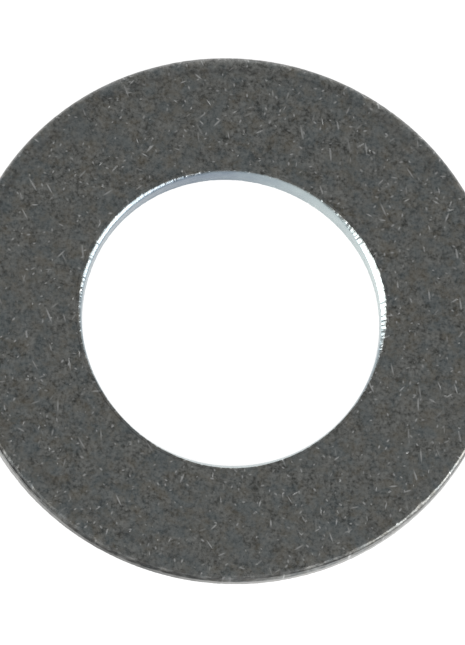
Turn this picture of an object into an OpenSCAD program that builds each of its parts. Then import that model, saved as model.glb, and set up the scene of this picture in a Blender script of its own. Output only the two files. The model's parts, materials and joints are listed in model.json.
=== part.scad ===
// Thin flat washer for an M30 screw, blanked from steel sheet.
// Millimetres. The underside lies on the XY plane, the bore runs along Z,
// and the upper face is the one whose edges the punching tools rolled over.

/* [Washer] */
// Outside diameter
outer_d = 56; // [36:0.5:80]
// Diameter of the plain clearance hole
bore_d = 31; // [8:0.5:50]
// Thickness over both faces
thickness = 2.5; // [1:0.1:6]

/* [Edges] */
// Radius of the rolled outer edge of the upper face
outer_roll_r = 0.6; // [0.1:0.05:0.8]
// Radius of the rolled bore edge of the upper face
bore_roll_r = 0.4; // [0.05:0.05:0.8]
// Radius of the tumbled edges of the lower face
lower_edge_r = 0.15; // [0.05:0.05:0.4]

/* [Hidden] */
outer_r = outer_d / 2;
bore_r = bore_d / 2;
// How far a cutting shape runs past the corner that it cuts
overrun = 0.05;
$fn = 128;

// What is cut from a square corner to leave a quarter circle of radius r.
// The circle's centre is at the origin, and the corner is at [r, r].
module corner_waste(r) {
    difference() {
        square(r + overrun);
        circle(r);
    }
}

// Radial section of the ring, right of the axis, with all four corners rounded
module ring_section() {
    difference() {
        translate([bore_r, 0])
            square([outer_r - bore_r, thickness]);
        translate([outer_r - outer_roll_r, thickness - outer_roll_r])
            corner_waste(outer_roll_r);
        translate([bore_r + bore_roll_r, thickness - bore_roll_r])
            mirror([1, 0])
                corner_waste(bore_roll_r);
        translate([outer_r - lower_edge_r, lower_edge_r])
            mirror([0, 1])
                corner_waste(lower_edge_r);
        translate([bore_r + lower_edge_r, lower_edge_r])
            rotate(180)
                corner_waste(lower_edge_r);
    }
}

// The whole ring: one piece of sheet steel with a bright zinc coat
module washer() {
    color("dimgray")
        rotate_extrude()
            ring_section();
}

washer();
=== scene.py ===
import json
import math
import random

import bpy
from mathutils import Matrix, Vector, noise


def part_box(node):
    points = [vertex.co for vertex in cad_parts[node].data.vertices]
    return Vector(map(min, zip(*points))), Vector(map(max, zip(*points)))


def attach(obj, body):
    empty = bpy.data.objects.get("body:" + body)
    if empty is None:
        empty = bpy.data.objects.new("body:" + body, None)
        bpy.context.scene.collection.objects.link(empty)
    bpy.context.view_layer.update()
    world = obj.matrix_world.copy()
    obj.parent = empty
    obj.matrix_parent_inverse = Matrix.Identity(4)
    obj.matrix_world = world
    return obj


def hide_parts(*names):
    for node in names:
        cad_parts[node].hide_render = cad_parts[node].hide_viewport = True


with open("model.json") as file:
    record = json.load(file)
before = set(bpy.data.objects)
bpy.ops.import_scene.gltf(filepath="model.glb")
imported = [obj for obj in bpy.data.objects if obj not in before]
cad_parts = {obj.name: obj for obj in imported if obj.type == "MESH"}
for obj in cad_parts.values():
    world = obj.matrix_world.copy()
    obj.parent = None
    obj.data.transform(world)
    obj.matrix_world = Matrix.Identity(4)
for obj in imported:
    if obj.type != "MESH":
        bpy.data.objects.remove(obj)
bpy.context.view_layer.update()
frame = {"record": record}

MM = 0.001
TURN = 2 * math.pi
RIM = 1
BORE = -1

# The ring's driving sizes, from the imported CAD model, in metres
low_corner, high_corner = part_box("washer")
bottom = low_corner.z
top = high_corner.z
outer_r = (high_corner.x - low_corner.x) / 2
bore_mount = next(m for m in frame["record"]["mounts"] if m["name"] == "bore")
bore_r = bore_mount["dims"]["r_mm"] * MM
thickness = top - bottom

# Steps round the ring, and steps across each zone of its section
AROUND = 1120
FACE_STEPS = 14
LEAD_STEPS = 6
ROLL_STEPS = 12
BURNISH_STEPS = 4
TORN_STEPS = 8
LOW_EDGE_STEPS = 4
UNDERSIDE_STEPS = 6

# The torn part of the wall: how rough it is, and how far down it takes to get so rough
TORN_ROUGHNESS = 0.05 * MM
TORN_FADE = 0.15 * MM

# The small radius of the lower edges
LOW_EDGE = 0.10 * MM

# A few bigger knocks on the rim: where in degrees, half width and depth in mm
KNOCKS = ((329, 0.7, 0.16), (236, 0.8, 0.14), (229, 0.5, 0.12), (121, 1.6, 0.12))

# The mix node's sockets for its two colours and its result: its names repeat, so numbers are used
MIX_FIRST = 6
MIX_SECOND = 7
MIX_RESULT = 2


def ring_noise(angle, waves, layer):
    """Smooth noise of about -1 to 1 round the ring, with some waves in each turn."""
    reach = waves / TURN
    return noise.noise(Vector((math.cos(angle) * reach, math.sin(angle) * reach, layer)))


def swelling(angle, centre, spread):
    """A smooth swelling round the ring: 1 at its centre, nearly 0 at twice its spread. Degrees."""
    away = (math.degrees(angle) - centre + 180) % 360 - 180
    return math.exp(-((away / spread) ** 2))


def swell(angle, base, *swellings):
    """A value that changes round the ring: a base, plus swellings of (amount, centre, spread)."""
    return base + sum(amount * swelling(angle, centre, spread) for amount, centre, spread in swellings)


def plateau(angle, centre, spread):
    """A swelling with a flat top of 1."""
    return min(1, 1.6 * swelling(angle, centre, spread))


def make_nicks(seed, count, radius, narrow, wide, shallow, deep):
    """Small dents along an edge: a list of (angle, half width as an angle, depth)."""
    dice = random.Random(seed)
    nicks = []
    for _ in range(count):
        angle = dice.uniform(0, TURN)
        half_width = dice.uniform(narrow, wide) / radius
        depth = dice.uniform(shallow, deep)
        nicks.append((angle, half_width, depth))
    return nicks


def nick_depth(nicks, angle):
    """How deep the edge is dented at an angle."""
    depth = 0.0
    for centre, half_width, most in nicks:
        away = abs((angle - centre + math.pi) % TURN - math.pi) / half_width
        if away < 1:
            depth = max(depth, most * (1 - away))
    return depth


outer_nicks = make_nicks(11, 46, outer_r, 0.12 * MM, 0.40 * MM, 0.03 * MM, 0.10 * MM)
bore_nicks = make_nicks(12, 90, bore_r, 0.06 * MM, 0.18 * MM, 0.03 * MM, 0.10 * MM)
for where, knock_half_width, knock_depth in KNOCKS:
    outer_nicks.append((math.radians(where), knock_half_width * MM / outer_r, knock_depth * MM))


def rim_profile(angle):
    """The rim's edge at one angle, in mm: it is rolled most on the far side."""
    far = swelling(angle, 104, 50)
    return {
        "roll_width": 0.34 + 0.27 * far + 0.20 * swelling(angle, 112, 14),
        "roll_depth": 0.40 + 0.12 * far,
        "lead_width": 1.30 - 0.20 * far + 1.10 * swelling(angle, 262, 55),
        "lead_depth": 0.05 + 0.22 * far,
        "bend": 1.1,
        "flare": 0.0,
        "lip": 0.0,
    }


def bore_profile(angle):
    """The bore's edge at one angle, in mm: its top flares on the near side, its foot leans inwards."""
    roll_width = swell(angle, 0.12, (0.46, 30, 30), (0.40, 164, 42), (0.05, 285, 25))
    flare = 0.62 * swelling(angle, 282, 43)
    return {
        "roll_width": roll_width,
        "roll_depth": 0.28 + 0.25 * roll_width,
        "lead_width": 0.35,
        "lead_depth": 0.01,
        "bend": swell(angle, 1.4, (0.5, 30, 35), (0.4, 285, 40)),
        "flare": flare,
        "lip": swell(angle, 0.06, (0.18, 82, 38), (0.16, 186, 25)) + flare,
    }


def edge_shape(angle, side):
    """The punched edge at one angle, in metres, with its unevenness. side is RIM or BORE."""
    rim = side == RIM
    layer = 3.0 if rim else 9.0
    profile = rim_profile(angle) if rim else bore_profile(angle)
    nick = nick_depth(outer_nicks if rim else bore_nicks, angle)
    if not rim:
        nick *= 1 - 0.85 * swelling(angle, 30, 22)
    width_noise = 1 + 0.12 * ring_noise(angle, 9, layer) + 0.14 * ring_noise(angle, 110, layer)
    width_noise *= 1 + 0.10 * ring_noise(angle, 400, layer)
    depth_noise = 1 + 0.12 * ring_noise(angle, 7, layer + 1) + 0.14 * ring_noise(angle, 300, layer + 1)
    torn_share = 0.36 + 0.07 * ring_noise(angle, 12, layer + 2) + 0.03 * ring_noise(angle, 90, layer)
    torn_share += 0.12 * swelling(angle, 234, 18)
    return {
        "radius": outer_r if rim else bore_r + profile["flare"] * MM,
        "side": side,
        "bend": profile["bend"],
        "lead_width": profile["lead_width"] * MM,
        "lead_depth": profile["lead_depth"] * MM,
        "roll_width": profile["roll_width"] * width_noise * MM + nick,
        "roll_depth": profile["roll_depth"] * depth_noise * MM + nick,
        "lip": profile["lip"] * MM,
        "torn_top": bottom + thickness * torn_share,
        "low_edge": LOW_EDGE * (1 + 0.3 * ring_noise(angle, 40, layer + 4)),
        "layer": layer,
    }


def edge_darkening(angle, side):
    """How dark each zone of an edge is painted, from 0 to about 1: a darker band along each lead-in, and
    painted shade over the rim's near side.
    """
    if side == BORE:
        lead = 0.5 + 0.35 * swelling(angle, 232, 35)
        return {"near_shade": 0.0, "lead": lead, "roll": 0.0, "wall": 0.0, "torn": 0.0}
    # All of the rim's darkening on its near side is painted shade; the roll's swellings at 230 and 308
    # degrees paint shade over reflections of the lamps.
    near_shade = plateau(angle, 268, 58)
    return {
        "near_shade": near_shade,
        "lead": 0.50 - 0.22 * near_shade,
        "roll": 0.66 * near_shade + swell(angle, 0.0, (0.36, 308, 20), (0.45, 230, 17)),
        "wall": 0.80 * plateau(angle, 266, 26),
        "torn": 0.66 * swelling(angle, 260, 24),
    }


def bore_painted_sheen(angle):
    """Painted reflection on the bore's metal: how bright it is painted by direction, from 0 up."""
    return swell(angle, 0.42, (0.52, 58, 32), (-0.42, 120, 28), (0.60, 26, 20), (0.50, 285, 40))


def wall_radius(edge, angle, z):
    """Radius of the straight wall at a height: its foot is shifted by the lip, its torn part is rough."""
    roll_end = top - edge["roll_depth"]
    down = (roll_end - z) / (roll_end - bottom)
    radius = edge["radius"] + edge["side"] * edge["lip"] * math.sin(down * math.pi / 2)
    drop = edge["torn_top"] - z
    if drop <= 0:
        return radius
    radius_mm = edge["radius"] / MM
    spot = Vector((math.cos(angle) * radius_mm, math.sin(angle) * radius_mm, z / MM * 2 + edge["layer"]))
    rough = 0.5 + 0.5 * noise.noise(spot * 3)
    fade = min(1.0, drop / TORN_FADE)
    return radius - edge["side"] * TORN_ROUGHNESS * rough * fade


def edge_points(angle, side):
    """One punched edge from the upper face to the underside: (radius, z, polish, torn, darkening), with
    painted shade on the rim's near side.
    """
    edge = edge_shape(angle, side)
    zone_darkening = edge_darkening(angle, side)
    radius = edge["radius"]
    width = edge["roll_width"]
    depth = edge["roll_depth"]
    lead_width = edge["lead_width"]
    lead_depth = edge["lead_depth"]
    bend = edge["bend"]
    whole_width = width + lead_width
    # On the rim's near side the polish is cut back so that the edge takes the darker face colour: painted
    # shade.
    polish = 1 - 0.7 * zone_darkening["near_shade"]
    points = []
    for step in range(LEAD_STEPS):
        along = step / LEAD_STEPS
        inward = width + lead_width * (1 - along)
        z = top - lead_depth * (1 - inward / whole_width) ** 2
        # The lead's darkening rises and fades out again in the half of it that is away from the edge
        darkness = zone_darkening["lead"] * math.sin(math.pi * min(1, along * 1.9))
        points.append((radius - side * inward, z, 0.0, 0.0, darkness))
    for step in range(ROLL_STEPS):
        turn = step / ROLL_STEPS * math.pi / 2
        inward = width * (1 - math.sin(turn) ** bend)
        z = top - lead_depth * (1 - inward / whole_width) ** 2 - depth * (1 - math.cos(turn) ** bend)
        darkness = zone_darkening["roll"] * math.sqrt(math.sin(turn))
        points.append((radius - side * inward, z, math.sin(turn) * polish, 0.0, darkness))
    roll_end = top - lead_depth - depth
    for step in range(BURNISH_STEPS):
        z = roll_end + (edge["torn_top"] - roll_end) * step / BURNISH_STEPS
        points.append((wall_radius(edge, angle, z), z, polish, 0.0, zone_darkening["wall"]))
    low_edge = edge["low_edge"]
    for step in range(TORN_STEPS):
        z = edge["torn_top"] + (bottom + low_edge - edge["torn_top"]) * step / TORN_STEPS
        points.append((wall_radius(edge, angle, z), z, 1.0, 1.0, zone_darkening["torn"]))
    last_radius = wall_radius(edge, angle, bottom + low_edge)
    for step in range(LOW_EDGE_STEPS + 1):
        turn = step / LOW_EDGE_STEPS * math.pi / 2
        inward = low_edge * (1 - math.cos(turn))
        z = bottom + low_edge * (1 - math.sin(turn))
        points.append((last_radius - side * inward, z, 0.5, 0.0, 0.0))
    return points


def section_points(angle):
    """The ring's closed section at one angle, from the bore's upper edge round and back.

    Each point is (radius, z, polish, torn, darkening, outward, painted sheen), with outward from 0 to 1
    between the bore and the rim; the darkening is painted shade on the rim's near side and a darker band
    along each lead-in, and the painted sheen is the bore's painted reflection.
    """
    painted_sheen = bore_painted_sheen(angle)
    rim = [point + (1.0, painted_sheen) for point in edge_points(angle, RIM)]
    bore = [point + (0.0, painted_sheen) for point in edge_points(angle, BORE)]
    points = []
    face_start = bore[0][0]
    face_end = rim[0][0]
    for step in range(1, FACE_STEPS):
        radius = face_start + (face_end - face_start) * step / FACE_STEPS
        points.append((radius, top, 0.0, 0.0, 0.0, step / FACE_STEPS, painted_sheen))
    points += rim
    low_start = rim[-1][0]
    low_end = bore[-1][0]
    for step in range(1, UNDERSIDE_STEPS):
        radius = low_start + (low_end - low_start) * step / UNDERSIDE_STEPS
        points.append((radius, bottom, 0.0, 0.0, 0.0, 1 - step / UNDERSIDE_STEPS, painted_sheen))
    points += reversed(bore)
    return points


def build_ring():
    """The whole washer as one closed mesh, with the values that its material reads at each point."""
    vertices = []
    values = {"polish": [], "torn": [], "lead_band_and_painted_shade": [], "outward": [], "painted_sheen": []}
    for turn_step in range(AROUND):
        angle = TURN * turn_step / AROUND
        for radius, z, *marks in section_points(angle):
            vertices.append((radius * math.cos(angle), radius * math.sin(angle), z))
            for numbers, mark in zip(values.values(), marks):
                numbers.append(mark)
    per_section = len(vertices) // AROUND
    faces = []
    for turn_step in range(AROUND):
        here = turn_step * per_section
        there = (turn_step + 1) % AROUND * per_section
        for step in range(per_section):
            after = (step + 1) % per_section
            faces.append((here + step, here + after, there + after, there + step))
    mesh = bpy.data.meshes.new("washer_ring")
    mesh.from_pydata(vertices, [], faces)
    for name, numbers in values.items():
        attribute = mesh.attributes.new(name, "FLOAT", "POINT")
        attribute.data.foreach_set("value", numbers)
    mesh.shade_smooth()
    mesh.update()
    ring = bpy.data.objects.new("washer_ring", mesh)
    bpy.context.scene.collection.objects.link(ring)
    return ring


class Nodes:
    """Short calls for building a material's nodes."""

    def __init__(self, name):
        self.material = bpy.data.materials.new(name)
        self.material.use_nodes = True
        self.tree = self.material.node_tree
        self.shader = self.tree.nodes["Principled BSDF"]

    def add(self, kind, **settings):
        node = self.tree.nodes.new(kind)
        for key, value in settings.items():
            setattr(node, key, value)
        return node

    def feed(self, socket, value):
        if isinstance(value, bpy.types.NodeSocket):
            self.tree.links.new(value, socket)
        else:
            socket.default_value = value

    def math(self, operation, first, second):
        node = self.add("ShaderNodeMath", operation=operation)
        self.feed(node.inputs[0], first)
        self.feed(node.inputs[1], second)
        return node.outputs[0]

    def remap(self, value, low, high, to_low=0.0, to_high=1.0):
        node = self.add("ShaderNodeMapRange", clamp=True)
        self.feed(node.inputs["Value"], value)
        self.feed(node.inputs["From Min"], low)
        self.feed(node.inputs["From Max"], high)
        self.feed(node.inputs["To Min"], to_low)
        self.feed(node.inputs["To Max"], to_high)
        return node.outputs["Result"]

    def mix_colour(self, factor, first, second):
        node = self.add("ShaderNodeMix", data_type="RGBA")
        self.feed(node.inputs[0], factor)
        self.feed(node.inputs[MIX_FIRST], first)
        self.feed(node.inputs[MIX_SECOND], second)
        return node.outputs[MIX_RESULT]

    def noise(self, vector, scale, detail, roughness, layer=0.0):
        shifted = self.add("ShaderNodeVectorMath", operation="ADD")
        self.feed(shifted.inputs[0], vector)
        self.feed(shifted.inputs[1], (layer, layer, 0))
        node = self.add("ShaderNodeTexNoise")
        self.feed(node.inputs["Vector"], shifted.outputs[0])
        self.feed(node.inputs["Scale"], scale)
        self.feed(node.inputs["Detail"], detail)
        self.feed(node.inputs["Roughness"], roughness)
        return node.outputs["Fac"]

    def attribute(self, name):
        return self.add("ShaderNodeAttribute", attribute_name=name).outputs["Fac"]

    def millimetres(self):
        """Object coordinates in millimetres."""
        coordinates = self.add("ShaderNodeTexCoord").outputs["Object"]
        scaled = self.add("ShaderNodeVectorMath", operation="SCALE")
        self.feed(scaled.inputs[0], coordinates)
        self.feed(scaled.inputs["Scale"], 1 / MM)
        return scaled.outputs[0]

    def marks(self, vector, cell, length, width, share, lean, spread, layer):
        """Scattered marks from 0 to 1: short strokes in some of the cells of a random grid, in mm.

        Each stroke leans by up to half of spread either side of lean, in degrees, from +X.
        """
        shifted = self.add("ShaderNodeVectorMath", operation="MULTIPLY_ADD")
        self.feed(shifted.inputs[0], vector)
        self.feed(shifted.inputs[1], (1 / cell, 1 / cell, 0))
        self.feed(shifted.inputs[2], (layer * 13.7, layer * 5.3, 0))
        cells = self.add("ShaderNodeTexVoronoi", voronoi_dimensions="2D")
        self.feed(cells.inputs["Vector"], shifted.outputs[0])
        self.feed(cells.inputs["Scale"], 1.0)
        away = self.add("ShaderNodeVectorMath", operation="SUBTRACT")
        self.feed(away.inputs[0], shifted.outputs[0])
        self.feed(away.inputs[1], cells.outputs["Position"])
        dice = self.add("ShaderNodeSeparateColor")
        self.feed(dice.inputs[0], cells.outputs["Color"])
        low = math.radians(-lean - spread / 2)
        high = math.radians(-lean + spread / 2)
        turned = self.add("ShaderNodeVectorRotate", rotation_type="Z_AXIS")
        self.feed(turned.inputs["Vector"], away.outputs[0])
        self.feed(turned.inputs["Angle"], self.remap(dice.outputs[1], 0.0, 1.0, low, high))
        squeezed = self.add("ShaderNodeVectorMath", operation="MULTIPLY")
        self.feed(squeezed.inputs[0], turned.outputs[0])
        self.feed(squeezed.inputs[1], (2 * cell / length, 2 * cell / width, 0))
        reach = self.add("ShaderNodeVectorMath", operation="LENGTH")
        self.feed(reach.inputs[0], squeezed.outputs[0])
        size = self.remap(dice.outputs[2], 0.0, 1.0, 0.45, 1.0)
        core = self.remap(self.math("DIVIDE", reach.outputs["Value"], size), 1.0, 0.4)
        chosen = self.remap(dice.outputs[0], 1 - share, 1 - share * 0.3, 0.25, 1.0)
        kept = self.math("GREATER_THAN", dice.outputs[0], 1 - share)
        return self.math("MULTIPLY", core, self.math("MULTIPLY", chosen, kept))


def grey(value):
    """A neutral colour."""
    return (value, value, value, 1)


def dull_zinc(n, place, cool, tone, marks):
    """Colour of the faces: mottled grey with cooler, warmer and paler patches, pits and marks."""
    cloud = n.noise(place, 0.12, 2.0, 0.5)
    warm = n.noise(place, 0.7, 3.0, 0.7, layer=31.0)
    pits = n.marks(place, 0.8, 0.40, 0.26, 0.10, 40, 180, 5.0)
    dark_grain = (0.085, 0.089, 0.083, 1)
    light_grain = (0.49, 0.50, 0.48, 1)
    cool_patch = (0.215, 0.285, 0.325, 1)
    warm_patch = (0.345, 0.295, 0.215, 1)
    pale_patch = (0.36, 0.36, 0.34, 1)
    bare_scratch = (0.85, 0.86, 0.85, 1)
    colour = n.mix_colour(n.remap(tone, 0.38, 0.62), dark_grain, light_grain)
    colour = n.mix_colour(n.remap(cool, 0.45, 0.62, 0.0, 0.32), colour, cool_patch)
    colour = n.mix_colour(n.remap(warm, 0.48, 0.66, 0.0, 0.32), colour, warm_patch)
    colour = n.mix_colour(n.remap(cloud, 0.35, 0.65, 0.0, 0.12), colour, pale_patch)
    colour = n.mix_colour(n.math("MULTIPLY", pits, 0.6), colour, grey(0.10))
    return n.mix_colour(marks, colour, bare_scratch)


def edge_metal(n, cool, tone, torn, outward):
    """Colour of the punched walls: in the bore a painted reflection from dark blue to bright green, grey
    on the rim, paler where torn.
    """
    # The bore's brightness and hue round the ring are painted reflection, between a painted dark blue and
    # a painted bright green, broken up a little by the cool noise.
    painted_sheen = n.math("ADD", n.attribute("painted_sheen"), n.remap(cool, 0.3, 0.7, -0.12, 0.12))
    bore_painted_dark = (0.17, 0.215, 0.27, 1)
    bore_painted_bright = (0.62, 0.71, 0.69, 1)
    dark_rim = (0.12, 0.12, 0.118, 1)
    light_rim = (0.30, 0.30, 0.295, 1)
    torn_steel = (0.50, 0.50, 0.49, 1)
    bore_metal = n.mix_colour(n.remap(painted_sheen, 0.0, 1.5), bore_painted_dark, bore_painted_bright)
    rim_metal = n.mix_colour(n.remap(tone, 0.38, 0.62), dark_rim, light_rim)
    rim_metal = n.mix_colour(n.math("MULTIPLY", torn, 0.9), rim_metal, torn_steel)
    return n.mix_colour(outward, bore_metal, rim_metal)


def zinc_roughness(n, tone, polish, outward, torn, darkness, marks):
    """Roughness: satin faces, a smoother bore, rougher where torn or darkened, smoother on marks."""
    rough_dull = n.remap(tone, 0.38, 0.62, 0.46, 0.36)
    rough_edge = n.remap(outward, 0.0, 1.0, 0.22, 0.42)
    edge_part = n.math("MULTIPLY", polish, n.math("SUBTRACT", rough_edge, rough_dull))
    roughness = n.math("ADD", rough_dull, edge_part)
    roughness = n.math("ADD", roughness, n.math("MULTIPLY", torn, 0.12))
    roughness = n.math("ADD", roughness, n.math("MULTIPLY", darkness, 0.22))
    return n.math("SUBTRACT", roughness, n.math("MULTIPLY", marks, 0.10))


def zinc_plate():
    """Bright zinc on steel: dull and mottled on the faces, polished where the punch rubbed, with painted
    shade on the rim's near side and a painted reflection on the bore wall.
    """
    n = Nodes("zinc_plate")
    place = n.millimetres()
    polish = n.attribute("polish")
    torn = n.attribute("torn")
    outward = n.attribute("outward")
    blotch = n.noise(place, 0.8, 3.0, 0.55)
    grain = n.noise(place, 2.7, 3.0, 0.8)
    cool = n.noise(place, 0.5, 3.0, 0.6)
    tone = n.math("ADD", n.math("MULTIPLY", grain, 0.70), n.math("MULTIPLY", blotch, 0.30))
    scratches = n.marks(place, 1.7, 2.1, 0.26, 0.11, 121, 34, 1.0)
    scratches = n.math("MAXIMUM", scratches, n.marks(place, 1.5, 1.4, 0.25, 0.09, 80, 90, 2.0))
    scratches = n.math("MAXIMUM", scratches, n.marks(place, 1.6, 1.1, 0.24, 0.13, 50, 170, 3.0))
    specks = n.marks(place, 0.75, 0.52, 0.26, 0.27, 100, 180, 4.0)
    marks = n.math("MAXIMUM", scratches, specks)
    # Darkness: painted shade on the rim's near side and a darker band along each lead-in, broken up by
    # the blotches.
    darkness = n.math("MULTIPLY", n.attribute("lead_band_and_painted_shade"), n.remap(blotch, 0.38, 0.58, 1.0, 0.65))
    face_colour = dull_zinc(n, place, cool, tone, marks)
    clean = n.mix_colour(polish, face_colour, edge_metal(n, cool, tone, torn, outward))
    roughness = zinc_roughness(n, tone, polish, outward, torn, darkness, marks)
    # Where it is dark, the colour and the metal's edge tint are pulled to near black: the lead-in band,
    # and painted shade on the rim's near side.
    n.feed(n.shader.inputs["Base Color"], n.mix_colour(darkness, clean, grey(0.055)))
    n.feed(n.shader.inputs["Specular Tint"], n.mix_colour(darkness, grey(1), grey(0.05)))
    n.feed(n.shader.inputs["Metallic"], 1.0)
    n.feed(n.shader.inputs["Roughness"], roughness)
    height = n.math("MULTIPLY", tone, 0.045)
    height = n.math("SUBTRACT", height, n.math("MULTIPLY", scratches, 0.015))
    height = n.math("ADD", height, n.math("MULTIPLY", specks, 0.012))
    bump = n.add("ShaderNodeBump")
    n.feed(bump.inputs["Distance"], MM)
    n.feed(bump.inputs["Height"], height)
    n.feed(n.shader.inputs["Normal"], bump.outputs[0])
    return n.material


def make_camera():
    """Far off, high over the -Y side and rolled a little: the ring runs out of frame left and right."""
    elevation = math.radians(73.4)
    roll = math.radians(15.0)
    distance = 60 * outer_r
    frame_height = 2.3748 * outer_r
    aim_right = 0.0028 * outer_r
    aim_down = 0.0238 * outer_r
    back = Vector((0, -math.cos(elevation), math.sin(elevation)))
    level_up = Vector((0, math.sin(elevation), math.cos(elevation)))
    right = Vector((math.cos(roll), 0, 0)) + math.sin(roll) * level_up
    up = back.cross(right)
    aim = Vector((0, 0, top)) + aim_right * right - aim_down * up
    data = bpy.data.cameras.new("camera")
    data.lens = data.sensor_width * distance / frame_height
    data.clip_start = distance * 0.1
    data.clip_end = distance * 10
    camera = bpy.data.objects.new("camera", data)
    place = Matrix((right, up, back)).transposed().to_4x4()
    place.translation = aim + back * distance
    camera.matrix_world = place
    bpy.context.scene.collection.objects.link(camera)
    bpy.context.scene.camera = camera


def make_floor():
    """A plain white sheet just under the washer, glowing so that it shows hardly any shadow."""
    half = 60 * outer_r
    gap = 0.01 * MM
    level = bottom - gap
    mesh = bpy.data.meshes.new("floor")
    corners = [(-half, -half, level), (half, -half, level), (half, half, level), (-half, half, level)]
    mesh.from_pydata(corners, [], [(0, 1, 2, 3)])
    floor = bpy.data.objects.new("floor", mesh)
    bpy.context.scene.collection.objects.link(floor)
    n = Nodes("floor_paper")
    n.feed(n.shader.inputs["Base Color"], grey(0.25))
    n.feed(n.shader.inputs["Roughness"], 0.9)
    n.feed(n.shader.inputs["Specular IOR Level"], 0.0)
    n.feed(n.shader.inputs["Emission Color"], grey(1))
    n.feed(n.shader.inputs["Emission Strength"], 0.90)
    mesh.materials.append(n.material)


def make_panel(name, azimuth, reach, width, height, radiance):
    """A soft upright lamp that stands on the floor, faces the washer and isn't in the camera's view."""
    data = bpy.data.lights.new(name, "AREA")
    data.shape = "RECTANGLE"
    data.size = width
    data.size_y = height
    data.energy = radiance * math.pi * width * height
    lamp = bpy.data.objects.new(name, data)
    outward = Vector((math.cos(azimuth), math.sin(azimuth), 0))
    lamp.location = outward * reach + Vector((0, 0, height / 2))
    lamp.rotation_euler = outward.to_track_quat("Z", "Y").to_euler()
    lamp.visible_camera = False
    bpy.context.scene.collection.objects.link(lamp)


# The room's brightness by direction: how far towards +Y, from -1 to 1, and the grey there
ROOM = ((-1.0, 0.20), (-0.2, 0.22), (0.27, 0.225), (0.40, 0.12), (0.52, 0.25), (0.8, 0.42), (1.0, 0.62))


def make_room():
    """A dim room, lighter low on the far side, with a darker band part of the way there."""
    world = bpy.data.worlds.new("room")
    bpy.context.scene.world = world
    world.use_nodes = True
    tree = world.node_tree
    place = tree.nodes.new("ShaderNodeTexCoord")
    parts = tree.nodes.new("ShaderNodeSeparateXYZ")
    span = tree.nodes.new("ShaderNodeMapRange")
    span.inputs["From Min"].default_value = -1.0
    ramp = tree.nodes.new("ShaderNodeValToRGB")
    stops = ramp.color_ramp.elements
    while len(stops) < len(ROOM):
        stops.new(0.5)
    for stop, (towards, brightness) in zip(stops, ROOM):
        stop.position = (towards + 1) / 2
        stop.color = grey(brightness)
    tree.links.new(place.outputs["Generated"], parts.inputs[0])
    tree.links.new(parts.outputs["Y"], span.inputs["Value"])
    tree.links.new(span.outputs["Result"], ramp.inputs["Fac"])
    tree.links.new(ramp.outputs["Color"], tree.nodes["Background"].inputs["Color"])


def make_lights():
    """Bright upright panels on the left and right, in a dim room."""
    reach = 14 * outer_r
    height = 12 * outer_r
    radiance = 5.0
    make_panel("left_panel", math.radians(197), reach, 12 * outer_r, height, radiance)
    make_panel("right_panel", math.radians(-12), reach, 18 * outer_r, height, radiance)
    make_room()


make_camera()
make_floor()
make_lights()
bpy.context.scene.view_settings.view_transform = "Standard"

washer_ring = build_ring()
washer_ring.data.materials.append(zinc_plate())
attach(washer_ring, "root")
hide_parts("washer")
